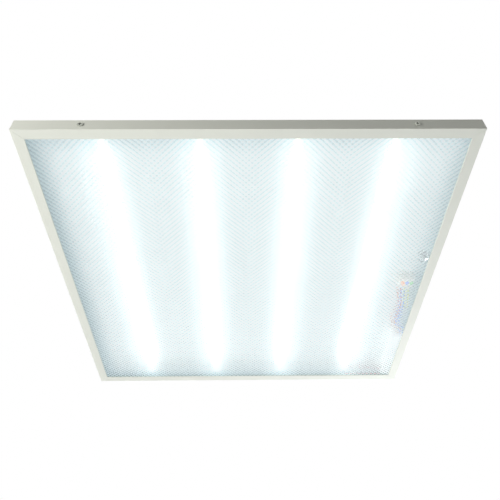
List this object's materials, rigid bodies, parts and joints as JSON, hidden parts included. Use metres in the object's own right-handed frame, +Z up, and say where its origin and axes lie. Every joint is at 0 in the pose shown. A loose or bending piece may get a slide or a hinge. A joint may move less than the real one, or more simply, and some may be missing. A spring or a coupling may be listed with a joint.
{
  "type": "recessed troffer light",
  "caption": "Square recessed ceiling light with a mitred painted frame, a prismatic diffuser, LED boards on a steel tray, a driver and a spring-clamp supply terminal.",
  "frame": {"origin": "middle of the frame's lower face", "axes": "+Z up into the ceiling void, away from the room; +Y towards the side opposite the one nearest the viewer in the picture; +X towards the side with the driver and terminal"},
  "size_m": [0.595, 0.5978, 0.0205],
  "materials": {
    "frame_paint": "smooth cream white powder paint",
    "zinc_steel": "bright zinc plate",
    "prismatic_acrylic": "clear prismatic sheet",
    "tray_paint": "gloss white paint on steel sheet",
    "black_rubber": "matt",
    "board_white": "white solder mask",
    "led_package": "white package with a phosphor window",
    "connector_plastic": "natural nylon",
    "driver_plastic": "white moulding",
    "circuit_board_green": "solder mask",
    "ferrite_grey": "ferrite",
    "capacitor_sleeve": "shrunk sleeve",
    "black_epoxy": "moulded epoxy",
    "terminal_plastic": "pale grey polyamide",
    "copper": "bright copper",
    "spring_steel": "spring steel",
    "button_orange": "moulded",
    "button_blue": "moulded",
    "button_green": "moulded",
    "tinned_copper": "tin plate",
    "wire_brown": "PVC insulation",
    "wire_blue": "PVC insulation",
    "wire_green_yellow": "PVC insulation, green and yellow",
    "wire_red": "PVC insulation",
    "wire_black": "PVC insulation",
    "wire_white": "PVC insulation",
    "clip_nylon": "natural nylon"
  },
  "bodies": {
    "luminaire": {"back_tray": "tray_paint", "cable_grommet": "black_rubber", "corner_key_far_left": "zinc_steel", "corner_key_far_right": "zinc_steel", "corner_key_near_left": "zinc_steel", "corner_key_near_right": "zinc_steel", "diffuser": "prismatic_acrylic", "driver_base": "driver_plastic", "driver_circuit_board": "circuit_board_green", "driver_cover": "driver_plastic", "driver_filter_choke": "ferrite_grey", "driver_input_capacitor": "capacitor_sleeve", "driver_output_capacitor": "capacitor_sleeve", "driver_screws": "zinc_steel", "driver_transformer": "ferrite_grey", "driver_transistor": "black_epoxy", "earth_lock_washer": "spring_steel", "earth_nut": "zinc_steel", "earth_ring_terminal": "tinned_copper", "earth_stud": "zinc_steel", "frame_rail_far": "frame_paint", "frame_rail_left": "frame_paint", "frame_rail_near": "frame_paint", "frame_rail_right": "frame_paint", "frame_screws": "zinc_steel", "jumper_wires_2_1": "wire_white", "jumper_wires_3_2": "wire_white", "jumper_wires_4_3": "wire_white", "led_board_1": "board_white", "led_board_2": "board_white", "led_board_3": "board_white", "led_board_4": "board_white", "led_chips_1": "led_package", "led_chips_2": "led_package", "led_chips_3": "led_package", "led_chips_4": "led_package", "led_connectors_1": "connector_plastic", "led_connectors_2": "connector_plastic", "led_connectors_3": "connector_plastic", "led_connectors_4": "connector_plastic", "terminal_busbar_earth": "copper", "terminal_busbar_live": "copper", "terminal_busbar_neutral": "copper", "terminal_clamp_earth": "spring_steel", "terminal_clamp_live": "spring_steel", "terminal_clamp_neutral": "spring_steel", "terminal_housing": "terminal_plastic", "terminal_screw": "zinc_steel", "wire_clips": "clip_nylon", "wire_earth": "wire_green_yellow", "wire_led_negative": "wire_black", "wire_led_positive": "wire_red", "wire_live": "wire_brown", "wire_neutral": "wire_blue"},
    "button_live": {"release_button_live": "button_orange"},
    "button_neutral": {"release_button_neutral": "button_blue"},
    "button_earth": {"release_button_earth": "button_green"}
  },
  "joints": [
    {"name": "button_live_press", "type": "slide", "parent": "luminaire", "child": "button_live", "axis": [0, 0, 1], "range_m": [0, 0.0015], "stiffness_N_per_m": 2000},
    {"name": "button_neutral_press", "type": "slide", "parent": "luminaire", "child": "button_neutral", "axis": [0, 0, 1], "range_m": [0, 0.0015], "stiffness_N_per_m": 2000},
    {"name": "button_earth_press", "type": "slide", "parent": "luminaire", "child": "button_earth", "axis": [0, 0, 1], "range_m": [0, 0.0015], "stiffness_N_per_m": 2000}
  ]
}
